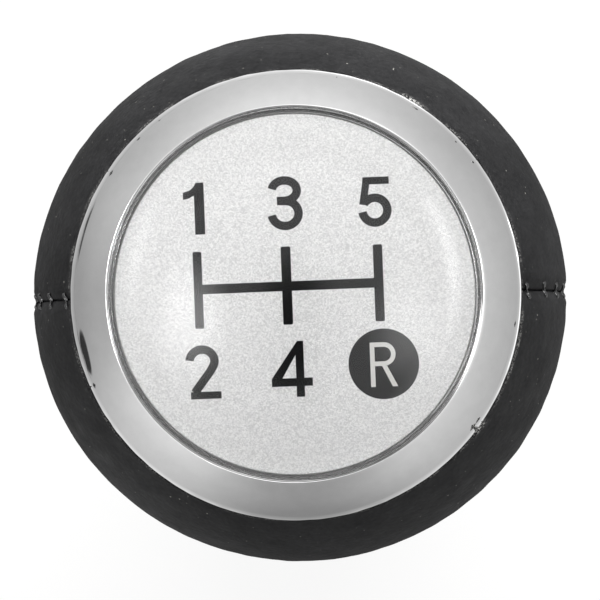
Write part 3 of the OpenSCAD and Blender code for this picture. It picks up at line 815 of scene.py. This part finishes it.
def inkPiece(name, shapes, low, thickness, material):
    # every outline becomes a flat slab; later ones stand a layer higher where they overlap
    angle = math.radians(pattern["turn"])
    spin = np.array([[math.cos(angle), math.sin(angle)], [-math.sin(angle), math.cos(angle)]])
    points, faces, count = [], [], 0
    for number, shape in enumerate(shapes):
        flat = np.asarray(shape, float)
        area = np.sum(flat[:, 0] * np.roll(flat[:, 1], -1) - np.roll(flat[:, 0], -1) * flat[:, 1])
        flat = (flat if area > 0 else flat[::-1]) * pattern["unit"] @ spin
        size = len(flat)
        high = low + thickness + pattern["layer"] * number
        points += [np.c_[flat, np.full(size, low)], np.c_[flat, np.full(size, high)]]
        ring = np.arange(size)
        after = (ring + 1) % size
        faces += [(count + ring[::-1])[None], (count + size + ring)[None],
                  count + np.stack([ring, after, after + size, ring + size], -1)]
        count += 2 * size
    makePiece(name, np.vstack(points), faces, material, sharp=30)


blackShapes, letterShapes = printShapes()
inkPiece("shiftPatternInk", blackShapes, knob["plateTop"] + pattern["low"], pattern["ink"], inkMaterial)
inkPiece("reverseLetterInk", letterShapes, knob["plateTop"] + pattern["letterLow"], pattern["letterInk"],
         silverInkMaterial)
print("scene: shift pattern printed")


def neckCollar():
    # a moulded ring: straight bore with a snap bead, tapered outside, rounded rim and foot
    section = np.vstack([
        line((10.6, 0), (13.55, 0), 3), arc((13.6, 0.7), 0.7, -88, -2, 7),
        line((14.31, 1.0), (14.68, 7.55), 6), arc((14.38, 7.7), 0.3, 0, 90, 6),
        arc((13.85, 7.75), 0.25, 90, 180, 4), line((13.6, 7.2), (13.6, 3.0), 4),
        line((13.2, 3.0), (10.6, 3.0), 2),
        [(10.6, 2.6), (10.25, 2.1), (10.6, 1.6)]])
    points, faces = revolve(section, 192)
    makePiece("neckCollar", points, faces, collarMaterial, ["neck_collar"], sharp=35)


def leverInsert():
    # outside: knurled bands with a waist between them; bore: a helical thread, its depth a
    # triangle wave of height minus the turn; both run as one closed ring of rows
    look = {"radius": 8.0, "low": 0.6, "length": 30.0, "bore": 5.3234, "depth": 0.66, "pitch": 1.25,
            "columns": 144, "rows": 300, "chamfer": 0.9, "groove": 0.4, "count": 24}
    phi = (np.arange(look["columns"]) / look["columns"] * turn)[None, :]
    outZ = np.array([0, 0.02, 0.8, 0.82, 8.18, 8.2, 9.0, 9.8, 20.2, 21.0, 21.8, 21.82, 29.18, 29.2,
                     30.0])[:, None]
    waist = np.interp(outZ, [9.0, 9.8, 20.2, 21.0], [0, 0.8, 0.8, 0])
    banded = ((outZ > 0.81) & (outZ < 8.19)) | ((outZ > 21.81) & (outZ < 29.19))
    wedge = np.abs((phi / turn * look["count"]) % 1 - 0.5)
    knurl = look["groove"] * np.clip(1 - wedge * 5.2, 0, 1) * banded
    outR = look["radius"] - waist - knurl - 0.01
    boreZ = np.linspace(look["length"], 0, look["rows"])[:, None]
    wave = (boreZ / look["pitch"] - phi / turn) % 1
    ridge = np.clip(np.abs(wave - 0.5) * 2 * 1.35 - 0.12, 0, 1)
    boreR = look["bore"] + look["depth"] * ridge * smooth(boreZ, 0.1, 0.9) * (1 - smooth(boreZ, 29.3, 29.9))
    boreR = np.maximum(boreR, look["bore"] + look["chamfer"] - boreZ)
    r = np.vstack([outR + 0 * phi, boreR + 0 * phi])
    z = np.vstack([outZ, boreZ]) + look["low"] + 0 * phi
    points = np.stack([r * np.cos(phi), r * np.sin(phi), z], -1)
    faces = [gridFaces(points.shape[0], look["columns"], True, True)]
    makePiece("leverInsert", points, faces, brassMaterial, ["threaded_insert"], sharp=35)


neckCollar()
leverInsert()
print("scene: collar and insert made")

# The hidden CAD pieces stay, each with its own finish
finishes = {"knob_core": nylonMaterial, "badge_cap": capMaterial, "cap_screw_1": zincMaterial,
            "cap_screw_2": zincMaterial, "cap_screw_3": zincMaterial, "badge_tape": tapeMaterial}
for name, material in finishes.items():
    for slot in nodes[name].material_slots:
        slot.material = material

# Camera: nearly straight above, leaning a little to +X and to the front
shot = {"distance": 450.0, "lens": 287.3, "leanX": 1.77, "leanY": 1.2, "roll": 1.2,
        "aim": (0.0, -0.235, 58.0)}
aim = Vector(shot["aim"]) * mm
leanX, leanY, roll = (math.radians(shot[key]) for key in ("leanX", "leanY", "roll"))
back = Vector((math.tan(leanX), -math.tan(leanY), 1)).normalized()
right = Vector((math.cos(roll), -math.sin(roll), 0))
right = (right - back * right.dot(back)).normalized()
up = back.cross(right)
camera = bpy.data.objects.new("photoCamera", bpy.data.cameras.new("photoCamera"))
camera.data.lens = shot["lens"]
camera.data.sensor_width = 36.0
camera.data.clip_start, camera.data.clip_end = 0.01, 20.0
turned = Matrix((right, up, back)).transposed()
camera.matrix_world = Matrix.Translation(aim + back * shot["distance"] * mm) @ turned.to_4x4()
bpy.context.scene.collection.objects.link(camera)
bpy.context.scene.camera = camera

# Strengths of the floor's glow to the camera, of the even room light and of what gloss sees
# overhead; and the panels in watts, with their places, aims and sizes in millimetres
studio = {"floorGlow": 0.9, "ambient": 0.37, "overhead": 1.6}
panels = {
    "keyPanel": {"place": (40, 270, 250), "aim": (0, 0, 60), "size": (220, 160), "power": 2.65},
    "fillPanel": {"place": (-260, -220, 320), "aim": (0, 0, 55), "size": (300, 300), "power": 0.28},
    "sidePanel": {"place": (420, 30, 150), "aim": (0, 0, 60), "size": (160, 260), "power": 0.18},
}
# What gloss sees, each as a place in the direction's own x, y, z, a size there and a gain, and
# if it isn't the usual one, the share of the size where it starts to fade. First a window, and
# the levels round the compass as x, y, reach and gain.
window = ((0.74, 0.0, 0.67), (0.24, 0.6, 0.24), 0.7, 0.2)
compass = [(0, 0.86, 0.8, 0.3), (0, -0.86, 0.62, -0.32), (-0.62, -0.6, 0.52, 0.2), (-0.87, 0.0, 0.55, -0.2),
           (0.62, -0.6, 0.55, 0.08)]
# Dark patches overhead and near the floor, whose gain is the share of light that they take
patches = [((-0.03, -0.41, 0.93), (0.44, 0.36, 1), 0.97, 0.3),
           ((-0.035, -0.02, 1), (0.066, 0.125, 1), 0.94, 0.25),
           ((-0.79, 0.26, -0.57), (0.4, 0.13, 0.045), 0.85, 0.5),
           ((-0.85, -0.185, -0.5), (0.3, 0.09, 0.15), 0.9, 0.8),
           ((0.75, -0.31, -0.58), (0.4, 0.15, 0.028), 0.75, 0.4)]
# Soft lights: two beside the patch right above, and others round them for the glints
lights = [((-0.15, -0.005, 1), (0.055, 0.085, 1), 4.2), ((0.1, -0.02, 1), (0.06, 0.075, 1), 2.2),
          ((0.2, 0.62, 0.74), (0.36, 0.3, 0.4), 1.3), ((0.54, 0.12, 0.83), (0.17, 0.17, 0.3), 22.0),
          ((-0.52, 0.18, 0.83), (0.17, 0.17, 0.3), 22.0), ((0.04, 0.46, 0.88), (0.2, 0.14, 0.3), 1.6),
          ((0.03, 0.32, 0.95), (0.42, 0.2, 1), 1.05), ((-0.3, -0.48, 0.82), (0.1, 0.1, 0.3), 5.0)]


def studioLevel(tree, way):
    # how bright the studio is in a direction: brightest overhead and greyer to the floor,
    # times the level round the compass, with its window, patches and lights
    height = addNode(tree, "SeparateXYZ", None, {"Vector": way}).outputs["Z"]
    steps = [(0.0, 0.14), (0.09, 0.22), (0.165, 0.46), (0.75, 0.625), (0.9, 0.8), (1.0, 1.0)]
    upward = ramp(tree, calculate(tree, "MULTIPLY_ADD", height, 0.5, 0.5),
                  [(at, (value, value, value, 1)) for at, value in steps])

    def spot(place, size, gain, soft=0.1):
        # the gain at the place, fading to nothing a size away from it
        scaled = combine(tree, "DIVIDE", combine(tree, "SUBTRACT", way, place), size)
        far = addNode(tree, "VectorMath", {"operation": "LENGTH"}, {0: scaled}).outputs["Value"]
        return mapRange(tree, far, soft, 1.0, gain, 0.0, "SMOOTHSTEP")

    around = 0.72
    for x, y, reach, gain in compass:
        around = calculate(tree, "ADD", around, spot((x, y, 0), (reach, reach, 40), gain))
    level = calculate(tree, "MULTIPLY", calculate(tree, "MULTIPLY", upward, around), studio["overhead"])
    level = calculate(tree, "ADD", level, spot(*window))
    for values in patches:
        level = calculate(tree, "MULTIPLY", level, calculate(tree, "SUBTRACT", 1.0, spot(*values)))
    for values in lights:
        level = calculate(tree, "ADD", level, spot(*values))
    return level


def rayKinds(tree):
    # 1 for a ray from the camera, and 1 for one from gloss or glass
    path = addNode(tree, "LightPath").outputs
    gloss = calculate(tree, "MAXIMUM", path["Is Glossy Ray"], path["Is Transmission Ray"])
    return path["Is Camera Ray"], gloss


def glow(tree, kind, strength):
    return addNode(tree, kind, None, {"Color": white, "Strength": strength}).outputs[0]


def makeFloor():
    # matt pale paper that goes far past the view; gloss sees the studio in its place
    look = {"half": 2.5, "depth": 0.00005, "seenFrom": 71}   # metres, and millimetres above it
    material, tree, place = newMaterial("mattPaper")
    fromCamera, fromGloss = rayKinds(tree)
    tint = mixColour(tree, noise(tree, place, 1.5, 3.0)["Fac"], "e9e8e6", "efeeec")
    paper = addNode(tree, "BsdfPrincipled", None, {"Base Color": tint, "Roughness": 0.9}).outputs[0]
    way = combine(tree, "NORMALIZE", combine(tree, "SUBTRACT", place, (0, 0, look["seenFrom"] * mm)))
    mirrored = glow(tree, "Emission", studioLevel(tree, way))
    bright = mixShader(tree, studio["floorGlow"], paper, glow(tree, "Emission", 1.0))
    closeMaterial(tree, mixShader(tree, fromGloss, mixShader(tree, fromCamera, paper, bright), mirrored))
    mesh = bpy.data.meshes.new("paperFloor")
    corners = [(-1, -1), (1, -1), (1, 1), (-1, 1)]
    mesh.from_pydata([(x * look["half"], y * look["half"], -look["depth"]) for x, y in corners], [],
                     [(0, 1, 2, 3)])
    mesh.materials.append(material)
    floor = bpy.data.objects.new("paperFloor", mesh)
    bpy.context.scene.collection.objects.link(floor)


def makeWorld():
    # white to the camera, an even pale room to matt surfaces, and the studio to glossy ones
    world = bpy.data.worlds.new("whiteStudio")
    bpy.context.scene.world = world
    world.use_nodes = True
    tree = world.node_tree
    tree.nodes.clear()
    fromCamera, fromGloss = rayKinds(tree)
    way = addNode(tree, "TexCoord").outputs["Generated"]
    seen, mirrored, room = (glow(tree, "Background", strength)
                            for strength in (1.0, studioLevel(tree, way), studio["ambient"]))
    inner = mixShader(tree, fromGloss, room, mirrored)
    addNode(tree, "OutputWorld", None, {"Surface": mixShader(tree, fromCamera, inner, seen)})


def addPanel(name, look):
    # a soft light that gloss doesn't show, as the studio has its own lights for it
    lamp = bpy.data.lights.new(name, "AREA")
    lamp.shape = "RECTANGLE"
    lamp.size, lamp.size_y = look["size"][0] * mm, look["size"][1] * mm
    lamp.energy = look["power"]
    holder = bpy.data.objects.new(name, lamp)
    bpy.context.scene.collection.objects.link(holder)
    place = Vector(look["place"])
    aimed = (Vector(look["aim"]) - place).to_track_quat("-Z", "Y").to_matrix().to_4x4()
    holder.matrix_world = Matrix.Translation(place * mm) @ aimed
    holder.visible_glossy = False


makeFloor()
makeWorld()
for name, look in panels.items():
    addPanel(name, look)
bpy.context.scene.view_settings.view_transform = "Standard"

print("scene: finished")
